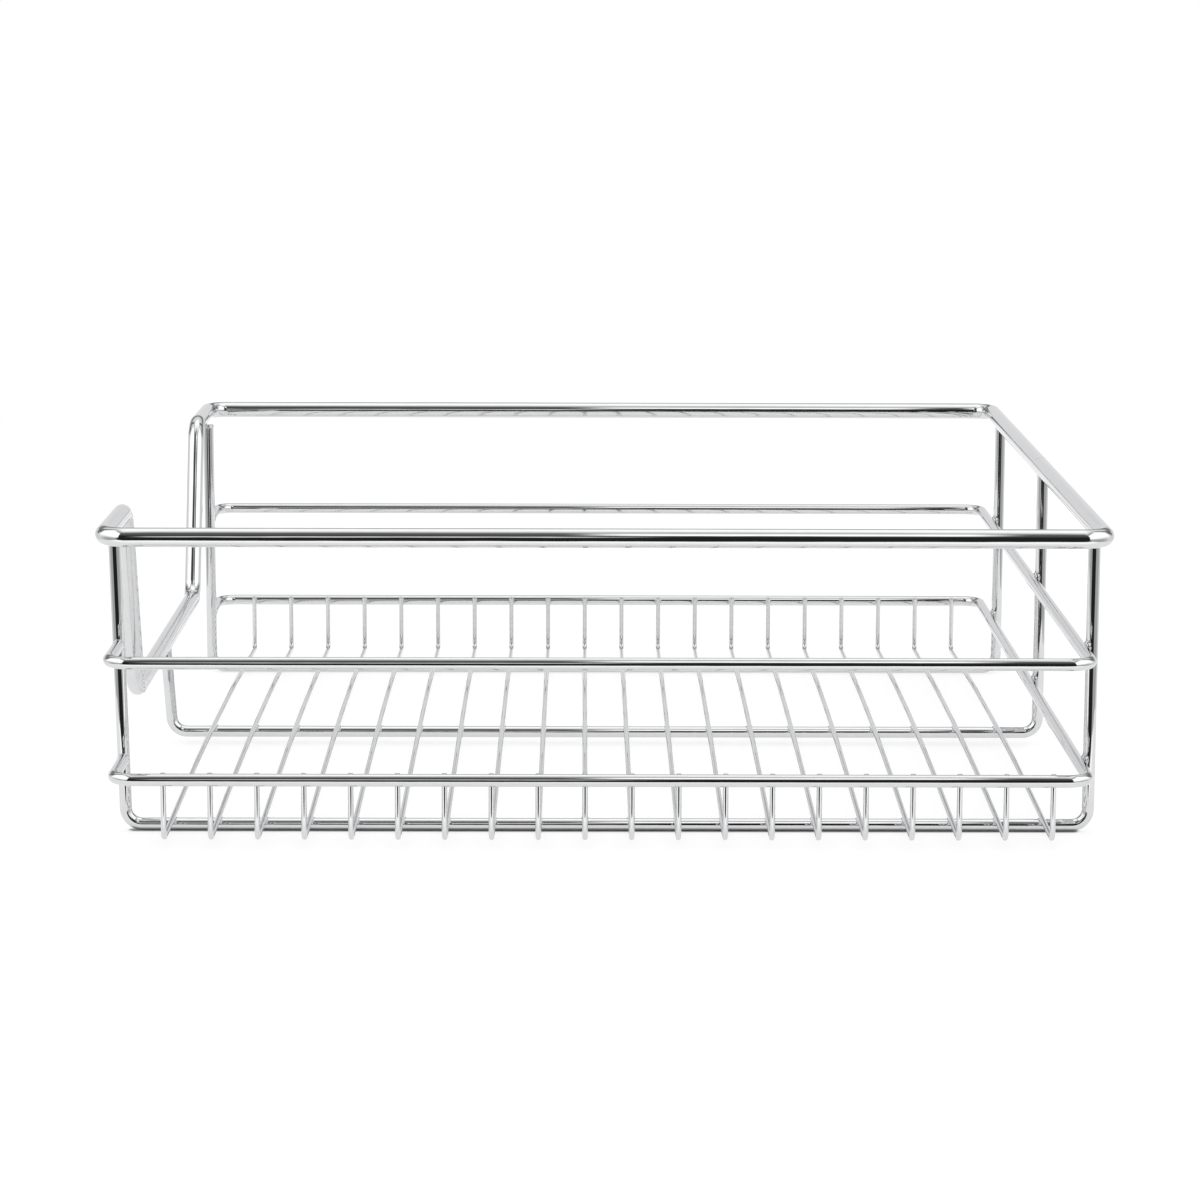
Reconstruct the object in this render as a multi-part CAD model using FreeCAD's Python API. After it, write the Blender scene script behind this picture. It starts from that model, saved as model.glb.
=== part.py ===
import FreeCAD, Part
import math
import os

# Pull-out kitchen basket of welded round wire. Millimetres.
# X runs from the front of the drawer (-X, where the rim dips) to its back (+X),
# Y across the drawer, Z up. The origin is on the surface below the middle of the basket.

# Outer sizes
BASKET_LENGTH = 480.0
BASKET_WIDTH = 514.0
BASKET_HEIGHT = 156.0

# Wire diameters
RIM_WIRE = 9.2
FRAME_WIRE = 6.0
CROSS_WIRE = 2.7

# Bend radii, on the centre line of the wire: the rim's corners and dip, the rails, the frame
# wires and the cross wires
RIM_BEND = 11.5
DIP_BEND = 13.5
RAIL_BEND = 10.5
FRAME_BEND = 8.0
CROSS_BEND = 4.0

# Dipped front of the rim: where each leg starts, measured from the basket's side,
# how far the leg leans inwards on its way down, and how far down the lower run lies
RIGHT_SHOULDER = 88.9
LEFT_SHOULDER = 80.0
DIP_LEAN = 35.5
DIP_DEPTH = 95.9

# Heights of the two side rails above the surface, to their centre lines
MIDDLE_RAIL_HEIGHT = 91.5
LOWER_RAIL_HEIGHT = 35.3

# Frame wires: one near each side of the basket, measured from that side, and one in the middle.
# Their posts stand a little off the rim's centre line, to its outside or its inside.
SIDE_FRAME_INSET = 52.0
BACK_POST_OUTSET = 0.5
RIGHT_FOOT_INSET = 3.0
RIGHT_HEAD_OUTSET = 0.4
CENTRE_FOOT_INSET = 3.4
LEFT_FOOT_INSET = 4.4
LEFT_HEAD_INSET = 4.2

# How much higher the middle frame wire's run lies than the side ones, so that the bottom is arched
CENTRE_RISE = 3.3

# Cross wires that make the bottom: the first from the front, the last from the back,
# and how far their tips reach above the centre line of the lower rail
CROSS_COUNT = 20
FIRST_CROSS_SETBACK = 30.6
LAST_CROSS_SETBACK = 26.65
CROSS_TIP_RISE = 2.5

# Welds: how far crossing wires are pressed into each other, how far a butted end is,
# and how far a post's shaped head reaches above the rim's lowest line
WELD_SET_DOWN = 0.2
BUTT_SET_DOWN = 0.3
HEAD_REACH = 1.2

# Centre lines that follow from the sizes above
RIM_X = (BASKET_LENGTH - RIM_WIRE) / 2
RIM_Y = (BASKET_WIDTH - RIM_WIRE) / 2
RIM_Z = BASKET_HEIGHT - RIM_WIRE / 2
DIP_Z = RIM_Z - DIP_DEPTH
FRAME_Z = FRAME_WIRE / 2
DIP_RIGHT_Y = RIGHT_SHOULDER - BASKET_WIDTH / 2
DIP_LEFT_Y = BASKET_WIDTH / 2 - LEFT_SHOULDER
SIDE_FRAME_Y = BASKET_WIDTH / 2 - SIDE_FRAME_INSET
BACK_POST_X = RIM_X + BACK_POST_OUTSET
BACK_RAIL_X = BACK_POST_X - FRAME_WIRE + WELD_SET_DOWN
CROSS_Z = FRAME_WIRE + CROSS_WIRE / 2 - WELD_SET_DOWN
CROSS_Y = RIM_Y - (FRAME_WIRE + CROSS_WIRE) / 2 + WELD_SET_DOWN
FIRST_CROSS_X = FIRST_CROSS_SETBACK - BASKET_LENGTH / 2
CROSS_PITCH = (BASKET_LENGTH - FIRST_CROSS_SETBACK - LAST_CROSS_SETBACK) / (CROSS_COUNT - 1)
ARCH_RADIUS = (SIDE_FRAME_Y ** 2 + CENTRE_RISE ** 2) / (2 * CENTRE_RISE)
ARCH_SLOPE = SIDE_FRAME_Y / (ARCH_RADIUS - CENTRE_RISE)


def vector(x, y, z):
    return FreeCAD.Vector(x, y, z)


def bend_at(before, corner, after, radius):
    """Start, middle and end of the arc that rounds a corner of the centre line."""
    towards_before = (before - corner).normalize()
    towards_after = (after - corner).normalize()
    half_angle = towards_before.getAngle(towards_after) / 2
    setback = radius / math.tan(half_angle)
    inwards = (towards_before + towards_after).normalize()
    middle = corner + inwards * (radius / math.sin(half_angle) - radius)
    return corner + towards_before * setback, middle, corner + towards_after * setback


def straight_run(start, end, diameter):
    """Round bar from start to end."""
    along = end - start
    return Part.makeCylinder(diameter / 2, along.Length, start, along)


def bend(start, middle, end, diameter):
    """Round bar along the arc through three points."""
    arc = Part.Arc(start, middle, end).toShape()
    section = Part.makeCircle(diameter / 2, start, arc.tangentAt(arc.FirstParameter))
    angle = math.degrees(arc.LastParameter - arc.FirstParameter)
    return Part.Face(Part.Wire(section)).revolve(arc.Curve.Center, arc.Curve.Axis, angle)


def bent_wire(corners, radii, diameter, closed=False):
    """Wire of straight runs through the corners, each inner corner rounded by an arc of its own radius."""
    last = len(corners) - 1
    rounded = range(len(corners)) if closed else range(1, last)
    threes = [(corners[i - 1], corners[i], corners[(i + 1) % len(corners)]) for i in rounded]
    bends = [bend_at(*three, radius) for three, radius in zip(threes, radii)]
    pieces = [bend(start, middle, end, diameter) for start, middle, end in bends]
    for (_, _, leaves), (enters, _, _) in zip(bends, bends[1:]):
        pieces.append(straight_run(leaves, enters, diameter))
    if closed:
        pieces.append(straight_run(bends[-1][2], bends[0][0], diameter))
    else:
        pieces.append(straight_run(corners[0], bends[0][0], diameter))
        pieces.append(straight_run(bends[-1][2], corners[last], diameter))
    return pieces[0].multiFuse(pieces[1:]).Solids[0]


def post_x(foot, head, z):
    """X at height z of a leaning front post, whose foot and head are (x, z) points."""
    return foot[0] + (head[0] - foot[0]) * (z - foot[1]) / (head[1] - foot[1])


def top_rim():
    """Closed loop of the thickest wire, whose front side dips to a lower run."""
    corners = [vector(-RIM_X, -RIM_Y, RIM_Z), vector(RIM_X, -RIM_Y, RIM_Z)]
    corners += [vector(RIM_X, RIM_Y, RIM_Z), vector(-RIM_X, RIM_Y, RIM_Z)]
    corners += [vector(-RIM_X, DIP_LEFT_Y, RIM_Z), vector(-RIM_X, DIP_LEFT_Y - DIP_LEAN, DIP_Z)]
    corners += [vector(-RIM_X, DIP_RIGHT_Y + DIP_LEAN, DIP_Z), vector(-RIM_X, DIP_RIGHT_Y, RIM_Z)]
    return bent_wire(corners, [RIM_BEND] * 4 + [DIP_BEND] * 4, RIM_WIRE, closed=True)


def front_post(foot_inset, head_inset, foot_z, head_z):
    """Foot and head of a front post as (x, z) points on its centre line."""
    return (foot_inset - RIM_X, foot_z), (head_inset - RIM_X, head_z)


def frame_wire(y, front, rim):
    """Front post, run along the bottom and back post in one wire, with heads shaped to the rim."""
    foot, head = front
    head_rise = HEAD_REACH - RIM_WIRE / 2
    front_head_z = head[1] + head_rise
    corners = [vector(post_x(foot, head, front_head_z), y, front_head_z), vector(foot[0], y, foot[1])]
    corners += [vector(BACK_POST_X, y, foot[1]), vector(BACK_POST_X, y, RIM_Z + head_rise)]
    return bent_wire(corners, [FRAME_BEND] * 2, FRAME_WIRE).cut(rim).Solids[0]


def side_rail(z, right_post, left_post):
    """Wire round the right side, the back and the left side, with a short return at each front corner.

    The returns are butted against the front posts, and the back run lies inside the back posts."""
    right_x = post_x(*right_post, z)
    left_x = post_x(*left_post, z)
    return_end = SIDE_FRAME_Y + FRAME_WIRE / 2 - BUTT_SET_DOWN
    corners = [vector(right_x, -return_end, z), vector(right_x, -RIM_Y, z), vector(BACK_RAIL_X, -RIM_Y, z)]
    corners += [vector(BACK_RAIL_X, RIM_Y, z), vector(left_x, RIM_Y, z), vector(left_x, return_end, z)]
    return bent_wire(corners, [RAIL_BEND] * 4, FRAME_WIRE)


def cross_wire(x):
    """Thin wire across the bottom, turned up at both ends against the inner side of the lower rail.

    It is an arc from side frame to side frame, and straight from there down to its feet."""
    tip_z = LOWER_RAIL_HEIGHT + CROSS_TIP_RISE
    foot_z = CROSS_Z - ARCH_SLOPE * (CROSS_Y - SIDE_FRAME_Y)
    middle_z = CROSS_Z + ARCH_SLOPE * SIDE_FRAME_Y
    corners = [vector(x, -CROSS_Y, tip_z), vector(x, -CROSS_Y, foot_z), vector(x, 0.0, middle_z)]
    corners += [vector(x, CROSS_Y, foot_z), vector(x, CROSS_Y, tip_z)]
    return bent_wire(corners, [CROSS_BEND, ARCH_RADIUS, CROSS_BEND], CROSS_WIRE)


def build():
    """Every wire of the basket by its node name."""
    rim = top_rim()
    right_post = front_post(RIGHT_FOOT_INSET, -RIGHT_HEAD_OUTSET, FRAME_Z, RIM_Z)
    centre_post = front_post(CENTRE_FOOT_INSET, 0.0, FRAME_Z + CENTRE_RISE, DIP_Z)
    left_post = front_post(LEFT_FOOT_INSET, LEFT_HEAD_INSET, FRAME_Z, RIM_Z)
    wires = {
        "top_rim": rim,
        "middle_rail": side_rail(MIDDLE_RAIL_HEIGHT, right_post, left_post),
        "lower_rail": side_rail(LOWER_RAIL_HEIGHT, right_post, left_post),
        "right_frame_wire": frame_wire(-SIDE_FRAME_Y, right_post, rim),
        "centre_frame_wire": frame_wire(0.0, centre_post, rim),
        "left_frame_wire": frame_wire(SIDE_FRAME_Y, left_post, rim),
    }
    for i in range(CROSS_COUNT):
        wires[f"cross_wire_{i + 1:02d}"] = cross_wire(FIRST_CROSS_X + i * CROSS_PITCH)
    return wires


os.makedirs("parts", exist_ok=True)
for name, solid in build().items():
    solid.exportStep(f"parts/{name}.step")
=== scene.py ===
import math

import bmesh
import bpy
import numpy as np
from mathutils import Matrix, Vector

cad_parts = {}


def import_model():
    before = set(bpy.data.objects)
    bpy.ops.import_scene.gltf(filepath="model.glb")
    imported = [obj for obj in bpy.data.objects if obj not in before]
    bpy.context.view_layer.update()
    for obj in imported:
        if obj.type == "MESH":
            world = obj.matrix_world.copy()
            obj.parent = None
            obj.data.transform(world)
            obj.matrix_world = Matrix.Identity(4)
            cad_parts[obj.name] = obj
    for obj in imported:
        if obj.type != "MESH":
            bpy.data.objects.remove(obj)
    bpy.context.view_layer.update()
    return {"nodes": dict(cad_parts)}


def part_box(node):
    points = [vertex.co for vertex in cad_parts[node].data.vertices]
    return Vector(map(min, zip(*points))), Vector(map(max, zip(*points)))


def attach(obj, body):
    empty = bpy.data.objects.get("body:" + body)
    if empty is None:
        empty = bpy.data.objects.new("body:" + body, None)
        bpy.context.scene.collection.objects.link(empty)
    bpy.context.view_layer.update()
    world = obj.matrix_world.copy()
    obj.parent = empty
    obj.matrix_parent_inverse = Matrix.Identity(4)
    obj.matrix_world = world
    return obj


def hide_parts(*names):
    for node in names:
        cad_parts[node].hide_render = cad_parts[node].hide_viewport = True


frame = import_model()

# Metres. X runs from the front of the drawer, where the rim dips, to its back, Y across it, Z up.

# Camera: where it stood for the photograph, and how it was turned, in degrees
CAMERA_PLACE = (-0.0106, -1.9688, 0.4165)
CAMERA_PAN = 0.276
CAMERA_TILT_DOWN = 9.734
CAMERA_ROLL = 0.155
LENS_MM = 111.3
SENSOR_MM = 36.0
CLIP_START = 0.05
CLIP_END = 50.0

# Radii of the three wires
RIM_RADIUS = 0.0046
FRAME_RADIUS = 0.0030
CROSS_RADIUS = 0.00135

# Radii that the wires are bent to, on their centre lines
RIM_BEND = 0.0115
DIP_BEND = 0.0135
RAIL_BEND = 0.0105
FRAME_BEND = 0.008
CROSS_BEND = 0.004

# Dipped front of the rim: where its two legs start, across the drawer, and how far they lean inwards
DIP_RIGHT_Y = -0.1681
DIP_LEFT_Y = 0.1770
DIP_LEAN = 0.0355

# Front posts lean: how far behind the rim's centre line their feet and heads stand
FOOT_INSETS = {"right_frame_wire": 0.0030, "centre_frame_wire": 0.0034, "left_frame_wire": 0.0044}
HEAD_INSETS = {"right_frame_wire": -0.0004, "centre_frame_wire": 0.0, "left_frame_wire": 0.0042}

# How far a post's head reaches above the rim's lowest line, and how deep wires are welded into each other
HEAD_REACH = 0.0012
BUTT_SET_DOWN = 0.0003
WELD_SET_DOWN = 0.0002

# Where the two ends of the rim's wire are butt-welded, on its back run
SEAM_Y = 0.004

# How far the edges of a wire's ends are rounded off
SEAM_TRIM = 0.00005
FRAME_TRIM = 0.0002
CROSS_TRIM = 0.0004

# Weld beads: half sizes along x, y and z, how much they vary, and their rings and sides
FLOOR_BEAD = (0.0018, 0.0020, 0.0008)
TIP_BEAD = (0.0018, 0.0008, 0.0020)
BACK_BEAD = (0.0012, 0.0030, 0.0030)
BEAD_SPREAD = (0.88, 1.12)
BEAD_RINGS = 7
BEAD_SIDES = 10

# Weld runs round a wire: half width and height, how far the rim's run is ground down, points over the
# arch of the section, and a direction that no weld run lies along
HEAD_RUN = (0.0005, 0.00015)
BUTT_RUN = (0.0009, 0.0003)
SEAM_RUN = (0.0008, 0.00006)
SEAM_GROUND = 0.00006
ARCH_POINTS = 7
ASKEW = (0.3, 0.5, 0.81)

# Plating: length and width of its streaks, depth of its relief, and its roughness where it is dullest.
# Below them, what all platings share: roughness where they are brightest, the two colours between which
# they vary, the tint of their edges, and how fine the clouds, tints and streaks are.
PLATINGS = {
    "chrome_rim": (0.055, 0.0022, 0.00005, 0.06),
    "chrome_frame": (0.030, 0.0020, 0.00003, 0.06),
    "chrome_cross": (0.012, 0.0010, 0.00002, 0.05),
    "chrome_weld": (0.002, 0.0010, 0.00008, 0.16),
}
BRIGHTEST_ROUGHNESS = 0.02
PLATING_DEEP = (0.655, 0.660, 0.668, 1.0)
PLATING_PALE = (0.715, 0.717, 0.720, 1.0)
EDGE_TINT = (0.93, 0.93, 0.94, 1.0)
CLOUD_SCALE = 90.0
CLOUD_DETAIL = 3.0
TINT_SCALE = 240.0
TINT_DETAIL = 2.0
STREAK_DETAIL = 2.0

# Mesh density: rings on a bend, length of a ring's step on a straight run, sides of a section, rings on
# a trimmed edge, how far from a wire's end its last full ring lies, and within what points are merged
BEND_RINGS = 19
RUN_STEP = 0.010
THICK_SIDES = 36
THIN_SIDES = 20
TRIMMED_RINGS = 4
END_RING = 0.0008
MERGE_WITHIN = 1e-7

# Table: its paper falls away on the camera's side, from the crest to the front edge, which sags in the
# middle by TABLE_SAG, as far as TABLE_SAG_FULL to both sides, and no more from TABLE_SAG_FROM outwards
TABLE_HALF_WIDTH = 0.54
TABLE_COLUMNS = 55
TABLE_CREST = -0.27
TABLE_FRONT = -0.67
TABLE_FRONT_DROP = 0.066
TABLE_SAG = 0.022
TABLE_SAG_FROM = 0.29
TABLE_SAG_FULL = 0.21
TABLE_BACK = 2.40

# Paper: its colour, and its glow below the basket and nearer the camera, growing between two places in y.
# The stronger glow nearer the camera is a painted pool of light on the paper.
PAPER_GREY = (0.5, 0.5, 0.5, 1.0)
GLOW_BELOW = 0.57
PAINTED_LIGHT_AHEAD = 0.85
GLOW_FROM = -0.33
GLOW_TO = -0.45

# Painted shadow where the right frame wire touches the paper, cut into the paper's glow: its distances from
# full painted shadow to none
PAINTED_SHADE_FROM = 0.0022
PAINTED_SHADE_TO = 0.0048

# Dark room round the studio. Each pair is a graph: places, and how much of the room is covered there.
# A turn is in degrees from the camera's side, a rise in degrees above the horizon, and a way to the back
# goes from -1 at the camera's side to 1 behind the basket. The belt fades in by BELT_FADE times that way.
ROOM_RADIUS = 6.0
ROOM_DARK = 0.02
ROOM_TURNS = 241
ROOM_RISES = 121
SECTOR_TURN = ((-42, -36, 26, 32), (0.0, 1.0, 1.0, 0.0))
SECTOR_RISE = ((20, 35, 60, 70, 80, 90), (1.0, 0.93, 0.86, 0.75, 0.60, 0.50))
SIDES_BACK = ((-0.2, 0.4), (0.52, 0.0))
BELT_RISE = ((13, 20, 30, 38), (0.12, 0.75, 0.75, 0.10))
BELT_FADE = 3
FLANK_TURN = ((117, 122, 130, 136), (0.0, 0.85, 0.85, 0.0))
FLANK_RISE = ((2, 10, 55, 70), (0.0, 1.0, 1.0, 0.0))

# Lit cloths: middle, the ways from it to the side edge and to the upper edge, margins over which the
# edges fade, as shares of the cloth, strength, and how far the sides are drawn forward
CLOTH_STEPS = 49
LIT_CLOTHS = {
    "overhead_cloth": {
        "centre": (0.0, 0.30, 2.0), "across": (1.0, 0.0, 0.0), "up": (0.0, 1.60, 0.0),
        "margins": (0.25, 0.25, 0.58, 0.30), "strength": 1.45, "bow": 1.2,
    },
    "key_cloth": {
        "centre": (0.195, -1.279, 1.63), "across": (0.225, 0.0, 0.0), "up": (0.0, 0.682, 0.49),
        "margins": (0.15, 0.15, 0.34, 0.72), "strength": 1.7, "bow": 0.0,
    },
    "strip_cloth": {
        "centre": (-0.24, -2.14, 0.75), "across": (0.33, 0.0, 0.11), "up": (0.0, 0.0, 0.32),
        "margins": (0.34, 0.22, 0.40, 0.40), "strength": 1.0, "bow": 0.0,
    },
    "right_cloth": {
        "centre": (1.50, -1.20, 1.45), "across": (0.0, 1.55, 0.0), "up": (0.0, 0.0, 1.55),
        "margins": (0.04, 0.04, 0.23, 0.20), "strength": 1.5, "bow": 0.0,
    },
    "left_cloth": {
        "centre": (-1.50, -1.00, 1.45), "across": (0.0, -1.35, 0.0), "up": (0.0, 0.0, 1.55),
        "margins": (0.04, 0.04, 0.23, 0.20), "strength": 1.5, "bow": 0.0,
    },
}


def node_low(name):
    """Lowest corner of a CAD node's box."""
    return np.array(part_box(name)[0])


def node_high(name):
    """Highest corner of a CAD node's box."""
    return np.array(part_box(name)[1])


def node_middle(name):
    """Middle of a CAD node's box: half the sum of its two corners."""
    return (node_low(name) + node_high(name)) / 2


RIM_X, RIM_Y, RIM_Z = node_high("top_rim") - RIM_RADIUS
DIP_Z = node_low("top_rim")[2] + RIM_RADIUS
SIDE_FRAME_Y = node_middle("left_frame_wire")[1]
CROSS_WIRES = sorted(name for name in frame["nodes"] if name.startswith("cross_wire"))
RAILS = ("middle_rail", "lower_rail")
FRAME_WIRES = ("right_frame_wire", "centre_frame_wire", "left_frame_wire")

# The cross wires are arched over the middle frame wire, which lies higher than the side ones:
# radius = (half span ** 2 + rise ** 2) / (2 * rise), and slope at a side wire = half span / (radius - rise)
CENTRE_RISE = node_low("centre_frame_wire")[2]
CROSS_Z = 2 * FRAME_RADIUS + CROSS_RADIUS - WELD_SET_DOWN
ARCH_RADIUS = (SIDE_FRAME_Y ** 2 + CENTRE_RISE ** 2) / (2 * CENTRE_RISE)
ARCH_SLOPE = SIDE_FRAME_Y / (ARCH_RADIUS - CENTRE_RISE)


def unit(vector):
    """The same direction with length 1, along the last axis."""
    return vector / np.linalg.norm(vector, axis=-1, keepdims=True)


def arc(before, corner, after, radius):
    """Round bend at a corner: centre + radius * (cos s * outwards + sin s * onwards).

    The angle s goes from 0 to the turn of the bend, and onwards is the way in which the wire arrives."""
    to_before = unit(before - corner)
    to_after = unit(after - corner)
    half_angle = math.acos(to_before @ to_after) / 2
    centre = corner + unit(to_before + to_after) * radius / math.sin(half_angle)
    start = corner + to_before * radius / math.tan(half_angle)
    outwards = (start - centre) / radius
    s = np.linspace(0, math.pi - 2 * half_angle, BEND_RINGS)[:, None]
    return centre + radius * (np.cos(s) * outwards - np.sin(s) * to_before)


def centre_line(corners, bend_radii):
    """Points along the straight runs and round bends of a wire, from its first corner to its last.

    Straight run: start + share * (end - start), in equal steps of RUN_STEP at most."""
    corners = np.array(corners)
    stretches = [corners[:1]]
    for before, corner, after, radius in zip(corners, corners[1:], corners[2:], bend_radii):
        stretches.append(arc(before, corner, after, radius))
    stretches.append(corners[-1:])
    line = [corners[:1]]
    for this, following in zip(stretches, stretches[1:]):
        run = following[0] - this[-1]
        steps = int(np.linalg.norm(run) / RUN_STEP) + 1
        share = np.linspace(0, 1, steps + 1)[1:-1, None]
        line += [this[-1] + share * run, following]
    return np.concatenate(line)


def wire_skin(line, radius, trim, across, sides):
    """Skin of a round wire with trimmed ends, as a closed grid of rings.

    Point = centre(t) + r(t) * (cos a * side + sin a * up), where side is square to the wire and to the
    direction across, and up is square to both.
    Over the last stretch of length trim at each end, r falls as a quarter circle, and then to nothing."""
    along = unit(np.gradient(line, axis=0))
    along[0] = unit(line[1] - line[0])
    along[-1] = unit(line[-1] - line[-2])
    turn = np.linspace(0, math.pi / 2, TRIMMED_RINGS)
    back = np.concatenate([[END_RING], trim * (1 - np.sin(turn)), [0.0]])
    narrow = np.concatenate([[radius], radius - trim * (1 - np.cos(turn)), [0.0]])
    start = line[0] + back[::-1, None] * along[0]
    end = line[-1] - back[:, None] * along[-1]
    centres = np.concatenate([start, line[1:-1], end])
    radii = np.concatenate([narrow[::-1], np.full(len(line) - 2, radius), narrow])
    ahead_start = np.repeat(along[:1], len(back), axis=0)
    ahead_end = np.repeat(along[-1:], len(back), axis=0)
    ahead = np.concatenate([ahead_start, along[1:-1], ahead_end])
    side = unit(np.cross(across, ahead))
    up = np.cross(ahead, side)
    a = np.linspace(0, 2 * math.pi, sides, endpoint=False)[None, :, None]
    rings = np.cos(a) * side[:, None] + np.sin(a) * up[:, None]
    points = centres[:, None] + radii[:, None, None] * rings
    travelled = np.append(0.0, np.cumsum(np.linalg.norm(np.diff(centres, axis=0), axis=1)))
    lay = np.empty_like(points)
    lay[..., 0] = travelled[:, None]
    lay[..., 1] = radius * np.cos(a[..., 0])
    lay[..., 2] = radius * np.sin(a[..., 0])
    return points, lay


def ring_faces(rings, sides):
    """Quads between neighbouring rings of points, closed round each ring: corner k joins corner k + 1."""
    index = np.arange(rings * sides).reshape(rings, sides)
    onwards = np.roll(index, -1, axis=1)
    return np.stack([index[:-1], onwards[:-1], onwards[1:], index[1:]], axis=-1).reshape(-1, 4)


def skin_mesh(name, points, faces, lay):
    """Smooth mesh of the points and quads, its poles closed, with the wire's own coordinates in lay."""
    mesh = bpy.data.meshes.new(name)
    mesh.from_pydata(points.reshape(-1, 3).tolist(), [], faces.tolist())
    mesh.attributes.new("lay", "FLOAT_VECTOR", "POINT").data.foreach_set("vector", lay.reshape(-1))
    closing = bmesh.new()
    closing.from_mesh(mesh)
    bmesh.ops.remove_doubles(closing, verts=closing.verts, dist=MERGE_WITHIN)
    closing.to_mesh(mesh)
    closing.free()
    mesh.shade_smooth()
    return mesh


def add_piece(name, mesh, finish, stands_for=None):
    """Object of the basket with its finish, which rides with the basket."""
    mesh.materials.append(finish)
    piece = bpy.data.objects.new(name, mesh)
    bpy.context.scene.collection.objects.link(piece)
    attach(piece, "root")
    if stands_for:
        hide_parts(stands_for)


def plated_wire(node, corners, bend_radii, across, stock):
    """The wire of one CAD node, drawn round and smooth from its stock: radius, trim, sides and finish."""
    radius, trim, sides, finish = stock
    points, lay = wire_skin(centre_line(corners, bend_radii), radius, trim, across, sides)
    mesh = skin_mesh(f"{node}_plated", points, ring_faces(*points.shape[:2]), lay)
    add_piece(f"{node}_plated", mesh, finish, node)


def rim_corners():
    """Round the top and down into the dip, from the butt weld on the back run to the butt weld."""
    seam = (RIM_X, SEAM_Y, RIM_Z)
    left = [(RIM_X, RIM_Y, RIM_Z), (-RIM_X, RIM_Y, RIM_Z), (-RIM_X, DIP_LEFT_Y, RIM_Z)]
    dip = [(-RIM_X, DIP_LEFT_Y - DIP_LEAN, DIP_Z), (-RIM_X, DIP_RIGHT_Y + DIP_LEAN, DIP_Z)]
    right = [(-RIM_X, DIP_RIGHT_Y, RIM_Z), (-RIM_X, -RIM_Y, RIM_Z), (RIM_X, -RIM_Y, RIM_Z)]
    return [seam, *left, *dip, *right, seam]


def run_z(node):
    """Height of a frame wire's run along the bottom, on its centre line: lowest point + radius."""
    return node_low(node)[2] + FRAME_RADIUS


def front_post(node):
    """(x, z) of the foot and of the head of a leaning front post, on its centre line."""
    head_z = DIP_Z if node == "centre_frame_wire" else RIM_Z
    return (FOOT_INSETS[node] - RIM_X, run_z(node)), (HEAD_INSETS[node] - RIM_X, head_z)


def post_x(node, z):
    """Where a leaning front post's centre line stands at height z: foot + lean * share of the height."""
    (foot_x, foot_z), (head_x, head_z) = front_post(node)
    return foot_x + (head_x - foot_x) * (z - foot_z) / (head_z - foot_z)


def frame_corners(node):
    """Front head, front foot, back foot and back head."""
    y = node_middle(node)[1]
    back_x = node_high(node)[0] - FRAME_RADIUS
    head_rise = HEAD_REACH - RIM_RADIUS
    front_z = front_post(node)[1][1] + head_rise
    foot_z = run_z(node)
    front = [(post_x(node, front_z), y, front_z), (post_x(node, foot_z), y, foot_z)]
    return front + [(back_x, y, foot_z), (back_x, y, RIM_Z + head_rise)]


def rail_corners(node):
    """Right return, right side, back, left side and left return."""
    z = node_middle(node)[2]
    y = node_high(node)[1] - FRAME_RADIUS
    back_x = node_high(node)[0] - FRAME_RADIUS
    return_end = SIDE_FRAME_Y + FRAME_RADIUS - BUTT_SET_DOWN
    right_x = post_x("right_frame_wire", z)
    left_x = post_x("left_frame_wire", z)
    right = [(right_x, -return_end, z), (right_x, -y, z), (back_x, -y, z)]
    return right + [(back_x, y, z), (left_x, y, z), (left_x, return_end, z)]


def cross_corners(node):
    """Upturned tip, foot, corner of the arch, foot and upturned tip.

    From the corner in the middle, height = CROSS_Z + ARCH_SLOPE * (side wire's y - y) down to the feet."""
    x = node_middle(node)[0]
    y = node_high(node)[1] - CROSS_RADIUS
    tip = node_high(node)[2]
    foot = CROSS_Z - ARCH_SLOPE * (y - SIDE_FRAME_Y)
    middle = CROSS_Z + ARCH_SLOPE * SIDE_FRAME_Y
    return [(x, -y, tip), (x, -y, foot), (x, 0.0, middle), (x, y, foot), (x, y, tip)]


def weld_beads(name, centres, half_sizes, finish):
    """Squeezed-out welds, each an ellipsoid: centre + half size * (cos u cos v, cos u sin v, sin u).

    The half sizes vary a little from weld to weld."""
    random = np.random.default_rng(len(centres))
    u = np.linspace(-math.pi / 2, math.pi / 2, BEAD_RINGS)[:, None]
    v = np.linspace(0, 2 * math.pi, BEAD_SIDES, endpoint=False)[None, :]
    ball = np.stack([np.cos(u) * np.cos(v), np.cos(u) * np.sin(v), np.sin(u) + 0 * v], axis=-1)
    sizes = np.array(half_sizes) * random.uniform(*BEAD_SPREAD, (len(centres), 3))
    points = np.array(centres)[:, None, None] + sizes[:, None, None] * ball
    one = ring_faces(*ball.shape[:2])
    starts = np.arange(len(centres))[:, None, None] * ball.shape[0] * ball.shape[1]
    mesh = skin_mesh(name, points, (one + starts).reshape(-1, 4), points)
    add_piece(name, mesh, finish)


def weld_run(name, centre, along, profile, finish):
    """Weld run round a wire: a closed profile of (distance along, radius) pairs turned about the wire.

    Point = centre + distance * along + radius * (cos a * side + sin a * up)."""
    along = unit(np.array(along, float))
    distance, radius = np.array(profile + profile[:1]).T
    side = unit(np.cross(along, ASKEW))
    up = np.cross(along, side)
    a = np.linspace(0, 2 * math.pi, THICK_SIDES, endpoint=False)[None, :, None]
    turned = np.cos(a) * side + np.sin(a) * up
    points = np.array(centre) + distance[:, None, None] * along + radius[:, None, None] * turned
    mesh = skin_mesh(name, points, ring_faces(*points.shape[:2]), points)
    add_piece(name, mesh, finish)


def shader_tree(owner):
    """Empty node tree of a material or world."""
    owner.use_nodes = True
    owner.node_tree.nodes.clear()
    return owner.node_tree


def ramp(tree, factor, low, high):
    """low + factor * (high - low)."""
    made = tree.nodes.new("ShaderNodeMapRange")
    made.inputs["To Min"].default_value = low
    made.inputs["To Max"].default_value = high
    tree.links.new(factor, made.inputs["Value"])
    return made.outputs["Result"]


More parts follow.
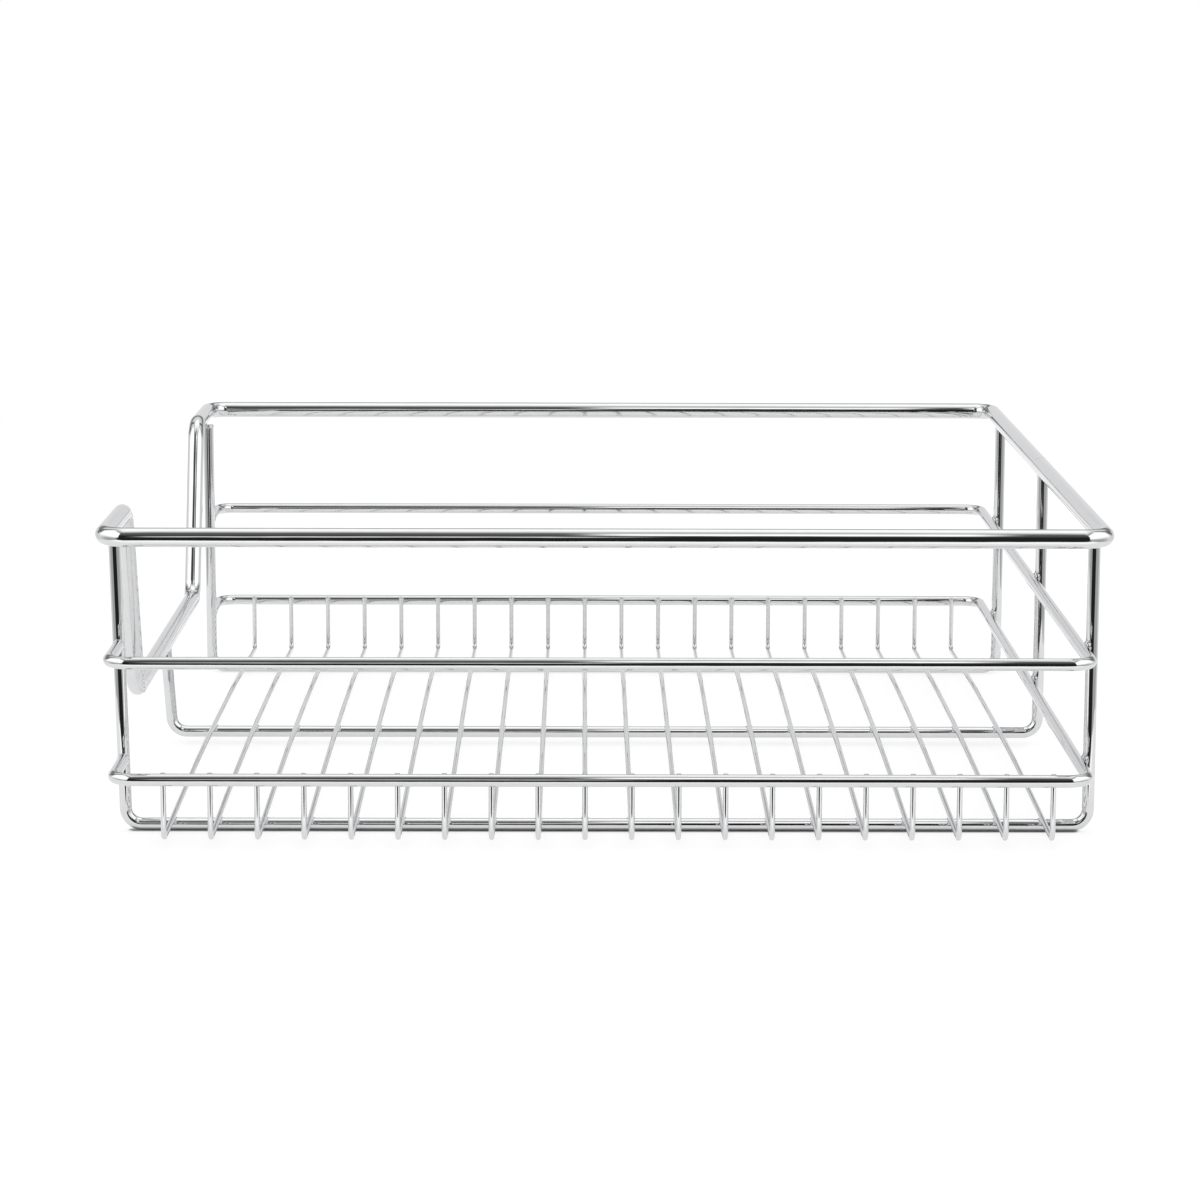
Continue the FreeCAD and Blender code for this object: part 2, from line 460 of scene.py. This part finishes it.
def noise(tree, place, scale, detail):
    """Cloudy pattern, 0 to 1, at a place."""
    made = tree.nodes.new("ShaderNodeTexNoise")
    made.inputs["Scale"].default_value = scale
    made.inputs["Detail"].default_value = detail
    tree.links.new(place, made.inputs["Vector"])
    return made.outputs["Fac"]


def chrome(name):
    """Bright plating over drawn wire: streaks along the wire, shallow relief and faint clouding."""
    streak_length, streak_width, relief, dullest = PLATINGS[name]
    material = bpy.data.materials.new(name)
    tree = shader_tree(material)
    out = tree.nodes.new("ShaderNodeOutputMaterial")
    skin = tree.nodes.new("ShaderNodeBsdfPrincipled")
    skin.inputs["Metallic"].default_value = 1.0
    skin.inputs["Specular Tint"].default_value = EDGE_TINT
    lay = tree.nodes.new("ShaderNodeAttribute")
    lay.attribute_name = "lay"
    stretch = tree.nodes.new("ShaderNodeMapping")
    stretch.inputs["Scale"].default_value = (1 / streak_length, 1 / streak_width, 1 / streak_width)
    tree.links.new(lay.outputs["Vector"], stretch.inputs["Vector"])
    streaks = noise(tree, stretch.outputs["Vector"], 1.0, STREAK_DETAIL)
    body = tree.nodes.new("ShaderNodeTexCoord").outputs["Object"]
    clouds = noise(tree, body, CLOUD_SCALE, CLOUD_DETAIL)
    tree.links.new(ramp(tree, clouds, BRIGHTEST_ROUGHNESS, dullest), skin.inputs["Roughness"])
    tint = tree.nodes.new("ShaderNodeMix")
    tint.data_type = "RGBA"
    tint.inputs["A"].default_value = PLATING_DEEP
    tint.inputs["B"].default_value = PLATING_PALE
    tree.links.new(noise(tree, body, TINT_SCALE, TINT_DETAIL), tint.inputs["Factor"])
    tree.links.new(tint.outputs["Result"], skin.inputs["Base Color"])
    bump = tree.nodes.new("ShaderNodeBump")
    bump.inputs["Distance"].default_value = relief
    tree.links.new(streaks, bump.inputs["Height"])
    tree.links.new(bump.outputs["Normal"], skin.inputs["Normal"])
    tree.links.new(skin.outputs["BSDF"], out.inputs["Surface"])
    return material


def studio_cloth(name, strength):
    """Cloth that only the chrome mirrors: lit or dark where its cover is 1, open where it is 0."""
    material = bpy.data.materials.new(name)
    tree = shader_tree(material)
    out = tree.nodes.new("ShaderNodeOutputMaterial")
    mix = tree.nodes.new("ShaderNodeMixShader")
    cover = tree.nodes.new("ShaderNodeAttribute")
    cover.attribute_name = "cover"
    glow = tree.nodes.new("ShaderNodeEmission")
    glow.inputs["Strength"].default_value = strength
    tree.links.new(cover.outputs["Fac"], mix.inputs["Fac"])
    tree.links.new(tree.nodes.new("ShaderNodeBsdfTransparent").outputs["BSDF"], mix.inputs[1])
    tree.links.new(glow.outputs["Emission"], mix.inputs[2])
    tree.links.new(mix.outputs["Shader"], out.inputs["Surface"])
    return material


def sheet_mesh(name, points):
    """Mesh of quads between neighbouring points of an open grid."""
    rows, columns = points.shape[:2]
    index = np.arange(rows * columns).reshape(rows, columns)
    faces = np.stack([index[:-1, :-1], index[:-1, 1:], index[1:, 1:], index[1:, :-1]], axis=-1)
    mesh = bpy.data.meshes.new(name)
    mesh.from_pydata(points.reshape(-1, 3).tolist(), [], faces.reshape(-1, 4).tolist())
    return mesh


def hang_cloth(name, points, cover, strength):
    """Studio cloth on a grid of points, seen in the chrome alone."""
    mesh = sheet_mesh(name, points)
    mesh.attributes.new("cover", "FLOAT", "POINT").data.foreach_set("value", cover.reshape(-1))
    mesh.materials.append(studio_cloth(name, strength))
    cloth = bpy.data.objects.new(name, mesh)
    bpy.context.scene.collection.objects.link(cloth)
    cloth.visible_camera = False
    cloth.visible_diffuse = False
    cloth.visible_transmission = False
    cloth.visible_shadow = False


def soft_edge(share, near, far):
    """0 at both ends of 0 to 1, rising smoothly to 1 over the margins near and far.

    Cover = m * m * (3 - 2 * m), where m is the share of the nearer margin that is passed."""
    inside = np.clip(np.minimum(share / near, (1 - share) / far), 0, 1)
    return inside * inside * (3 - 2 * inside)


def softbox(name, centre, across, up, margins, strength, bow):
    """Lit cloth: centre + (2 i - 1) * across + (2 j - 1) * up, i and j from 0 to 1, with faded edges.

    The margins are those at i = 0, i = 1, j = 0 and j = 1. The cloth's sides are drawn forward by
    bow * (2 i - 1) ** 2."""
    share = np.linspace(0, 1, CLOTH_STEPS)
    i, j = share[:, None, None], share[None, :, None]
    points = np.array(centre) + (2 * i - 1) * np.array(across) + (2 * j - 1) * np.array(up)
    points = points - (2 * i - 1) ** 2 * np.array((0.0, bow, 0.0))
    cover = soft_edge(i, *margins[:2]) * soft_edge(j, *margins[2:])
    hang_cloth(name, points, cover[..., 0], strength)


def dark_room():
    """Sphere of dark cloth: nearly black in a sector towards the camera, grey beside it, open at the back.

    Point = radius * (sin turn * cos rise, -cos turn * cos rise, sin rise). A darker belt above the horizon
    at the back draws the thin grey lines along the wires' upper edges. A dark flank on each side, behind
    the side cloths, draws the thin outlines of the bends."""
    turn = np.linspace(-math.pi, math.pi, ROOM_TURNS)[:, None]
    rise = np.linspace(-math.pi / 2, math.pi / 2, ROOM_RISES)[None, :]
    right = np.sin(turn) * np.cos(rise)
    back = -np.cos(turn) * np.cos(rise)
    above = np.sin(rise) + 0 * turn
    towards = np.stack([right, back, above], axis=-1)
    belt = np.interp(np.degrees(rise), *BELT_RISE) * np.clip(BELT_FADE * back, 0, 1)
    flank = np.interp(np.abs(np.degrees(turn)), *FLANK_TURN) * np.interp(np.degrees(rise), *FLANK_RISE)
    beside = np.maximum(np.maximum(np.interp(back, *SIDES_BACK), belt), flank)
    ahead = np.interp(np.degrees(rise), *SECTOR_RISE)
    sector = np.interp(np.degrees(turn), *SECTOR_TURN)
    hang_cloth("dark_room", ROOM_RADIUS * towards, beside + (ahead - beside) * sector, ROOM_DARK)


def table():
    """Pale paper: level at z = 0 below and behind the basket, falling away on the camera's side.

    Its front edge lies at z = -(drop + sag), where the sag fades out to both sides of the middle."""
    x = np.linspace(-TABLE_HALF_WIDTH, TABLE_HALF_WIDTH, TABLE_COLUMNS)
    drop = TABLE_FRONT_DROP + np.interp(np.abs(x), [TABLE_SAG_FULL, TABLE_SAG_FROM], [TABLE_SAG, 0.0])
    edges = ((TABLE_FRONT, -drop), (TABLE_CREST, 0 * x), (TABLE_BACK, 0 * x))
    mesh = sheet_mesh("table", np.array([np.stack([x, y + 0 * x, z], axis=-1) for y, z in edges]))
    mesh.materials.append(table_paper())
    top = bpy.data.objects.new("table", mesh)
    bpy.context.scene.collection.objects.link(top)


def painted_contact_shade(tree):
    """Painted contact shadow: 1 on open paper, falling to 0 below the right frame wire, by distance from
    the line that it touches.

    Distance = length of max(|place - middle of the line| - (half the line, 0, 0), 0)."""
    middle = node_middle("right_frame_wire")
    half_length = node_high("right_frame_wire")[0] - middle[0]
    half_run = half_length - FRAME_BEND - FRAME_RADIUS
    steps = [("SUBTRACT", (middle[0], middle[1], 0.0)), ("ABSOLUTE", None)]
    steps += [("SUBTRACT", (half_run, 0.0, 0.0)), ("MAXIMUM", (0.0, 0.0, 0.0)), ("LENGTH", None)]
    place = tree.nodes.new("ShaderNodeTexCoord").outputs["Object"]
    for operation, by in steps:
        step = tree.nodes.new("ShaderNodeVectorMath")
        step.operation = operation
        tree.links.new(place, step.inputs[0])
        if by:
            step.inputs[1].default_value = by
        place = step.outputs["Value" if operation == "LENGTH" else "Vector"]
    open_paper = tree.nodes.new("ShaderNodeMapRange")
    open_paper.interpolation_type = "SMOOTHSTEP"
    open_paper.inputs["From Min"].default_value = PAINTED_SHADE_FROM
    open_paper.inputs["From Max"].default_value = PAINTED_SHADE_TO
    tree.links.new(place, open_paper.inputs["Value"])
    return open_paper.outputs["Result"]


def table_paper():
    """White paper that takes faint shadows: part diffuse, part glow, which grows towards the camera as a
    painted pool of light and is darkened below the right frame wire by a painted contact shadow.
    """
    material = bpy.data.materials.new("table_paper")
    tree = shader_tree(material)
    out = tree.nodes.new("ShaderNodeOutputMaterial")
    paper = tree.nodes.new("ShaderNodeBsdfDiffuse")
    paper.inputs["Color"].default_value = PAPER_GREY
    place = tree.nodes.new("ShaderNodeSeparateXYZ")
    tree.links.new(tree.nodes.new("ShaderNodeTexCoord").outputs["Object"], place.inputs["Vector"])
    # Painted pool of light: the paper's glow grows from below the basket towards the camera.
    nearer = tree.nodes.new("ShaderNodeMapRange")
    nearer.inputs["From Min"].default_value = GLOW_FROM
    nearer.inputs["From Max"].default_value = GLOW_TO
    nearer.inputs["To Min"].default_value = GLOW_BELOW
    nearer.inputs["To Max"].default_value = PAINTED_LIGHT_AHEAD
    tree.links.new(place.outputs["Y"], nearer.inputs["Value"])
    shaded = tree.nodes.new("ShaderNodeMath")
    shaded.operation = "MULTIPLY"
    tree.links.new(nearer.outputs["Result"], shaded.inputs[0])
    # The glow is darkened below the right frame wire by a painted contact shadow.
    tree.links.new(painted_contact_shade(tree), shaded.inputs[1])
    glow = tree.nodes.new("ShaderNodeEmission")
    tree.links.new(shaded.outputs["Value"], glow.inputs["Strength"])
    both = tree.nodes.new("ShaderNodeAddShader")
    tree.links.new(paper.outputs["BSDF"], both.inputs[0])
    tree.links.new(glow.outputs["Emission"], both.inputs[1])
    tree.links.new(both.outputs["Shader"], out.inputs["Surface"])
    return material


def world():
    """White all round."""
    made = bpy.data.worlds.new("studio")
    bpy.context.scene.world = made
    tree = shader_tree(made)
    out = tree.nodes.new("ShaderNodeOutputWorld")
    light = tree.nodes.new("ShaderNodeBackground")
    light.inputs["Color"].default_value = (1.0, 1.0, 1.0, 1.0)
    tree.links.new(light.outputs["Background"], out.inputs["Surface"])


def camera():
    """The photograph's camera: rolled, tilted and panned, in this order, and set at its place."""
    data = bpy.data.cameras.new("camera")
    data.sensor_width = SENSOR_MM
    data.lens = LENS_MM
    data.clip_start = CLIP_START
    data.clip_end = CLIP_END
    made = bpy.data.objects.new("camera", data)
    pan = Matrix.Rotation(-math.radians(CAMERA_PAN), 4, "Z")
    tilt = Matrix.Rotation(math.radians(90.0 - CAMERA_TILT_DOWN), 4, "X")
    roll = Matrix.Rotation(math.radians(CAMERA_ROLL), 4, "Z")
    made.matrix_world = Matrix.Translation(CAMERA_PLACE) @ pan @ tilt @ roll
    bpy.context.scene.collection.objects.link(made)
    bpy.context.scene.camera = made


def wires():
    """Every wire of the basket in its plating."""
    thick = (RIM_RADIUS, SEAM_TRIM, THICK_SIDES, chrome("chrome_rim"))
    middling = (FRAME_RADIUS, FRAME_TRIM, THICK_SIDES, chrome("chrome_frame"))
    thin = (CROSS_RADIUS, CROSS_TRIM, THIN_SIDES, chrome("chrome_cross"))
    rim_bends = [RIM_BEND] * 2 + [DIP_BEND] * 4 + [RIM_BEND] * 2
    # No run of the rim lies along (1, 0, 1), so its sections are drawn without a jump from run to run
    plated_wire("top_rim", rim_corners(), rim_bends, (1.0, 0.0, 1.0), thick)
    for node in RAILS:
        plated_wire(node, rail_corners(node), [RAIL_BEND] * 4, (0, 0, 1), middling)
    for node in FRAME_WIRES:
        plated_wire(node, frame_corners(node), [FRAME_BEND] * 2, (0, 1, 0), middling)
    for node in CROSS_WIRES:
        plated_wire(node, cross_corners(node), [CROSS_BEND, ARCH_RADIUS, CROSS_BEND], (1, 0, 0), thin)


def weld_profile(radius, half_width, height):
    """Closed section of a weld run, as pairs of distance along the wire and radius.

    Arch = (-half width * cos t, radius + height * sin t), closed by a root inside the wire."""
    turn = np.linspace(0, math.pi, ARCH_POINTS)
    arch = [(-half_width * math.cos(t), radius + height * math.sin(t)) for t in turn]
    root = radius - height
    return [(-half_width, root), *arch, (half_width, root)]


def welds():
    """Every weld of the basket: beads where wires cross, runs where an end meets a wire."""
    finish = chrome("chrome_weld")
    frame_ys = [node_middle(node)[1] for node in FRAME_WIRES]
    cross_xs = [node_middle(node)[0] for node in CROSS_WIRES]
    crossings = [(node_middle(node)[1], run_z(node) + FRAME_RADIUS) for node in FRAME_WIRES]
    floor = [(x, y, z) for x in cross_xs for y, z in crossings]
    weld_beads("floor_welds", floor, FLOOR_BEAD, finish)
    rail_y = RIM_Y - FRAME_RADIUS
    rail_z = node_middle("lower_rail")[2]
    tips = [(x, y, rail_z) for x in cross_xs for y in (-rail_y, rail_y)]
    weld_beads("tip_welds", tips, TIP_BEAD, finish)
    back = [(node_high(rail)[0], y, node_middle(rail)[2]) for rail in RAILS for y in frame_ys]
    weld_beads("back_welds", back, BACK_BEAD, finish)
    head_run = weld_profile(FRAME_RADIUS, *HEAD_RUN)
    butt_run = weld_profile(FRAME_RADIUS, *BUTT_RUN)
    for node in FRAME_WIRES:
        side = node.split("_")[0]
        front_z = front_post(node)[1][1] - RIM_RADIUS
        back_x = node_high(node)[0] - FRAME_RADIUS
        y = node_middle(node)[1]
        front_head = (post_x(node, front_z), y, front_z)
        back_head = (back_x, y, RIM_Z - RIM_RADIUS)
        weld_run(f"{side}_front_head_weld", front_head, (0, 0, 1), head_run, finish)
        weld_run(f"{side}_back_head_weld", back_head, (0, 0, 1), head_run, finish)
    for rail in RAILS:
        z = node_middle(rail)[2]
        for side, sign in (("right", -1), ("left", 1)):
            end = (post_x(f"{side}_frame_wire", z), sign * (SIDE_FRAME_Y + FRAME_RADIUS), z)
            weld_run(f"{rail}_{side}_butt_weld", end, (0, 1, 0), butt_run, finish)
    seam_run = weld_profile(RIM_RADIUS - SEAM_GROUND, *SEAM_RUN)
    weld_run("rim_butt_weld", (RIM_X, SEAM_Y, RIM_Z), (0, 1, 0), seam_run, finish)


bpy.context.scene.view_settings.view_transform = "Standard"
camera()
table()
world()
dark_room()
for cloth_name, cloth_shape in LIT_CLOTHS.items():
    softbox(cloth_name, **cloth_shape)
wires()
welds()
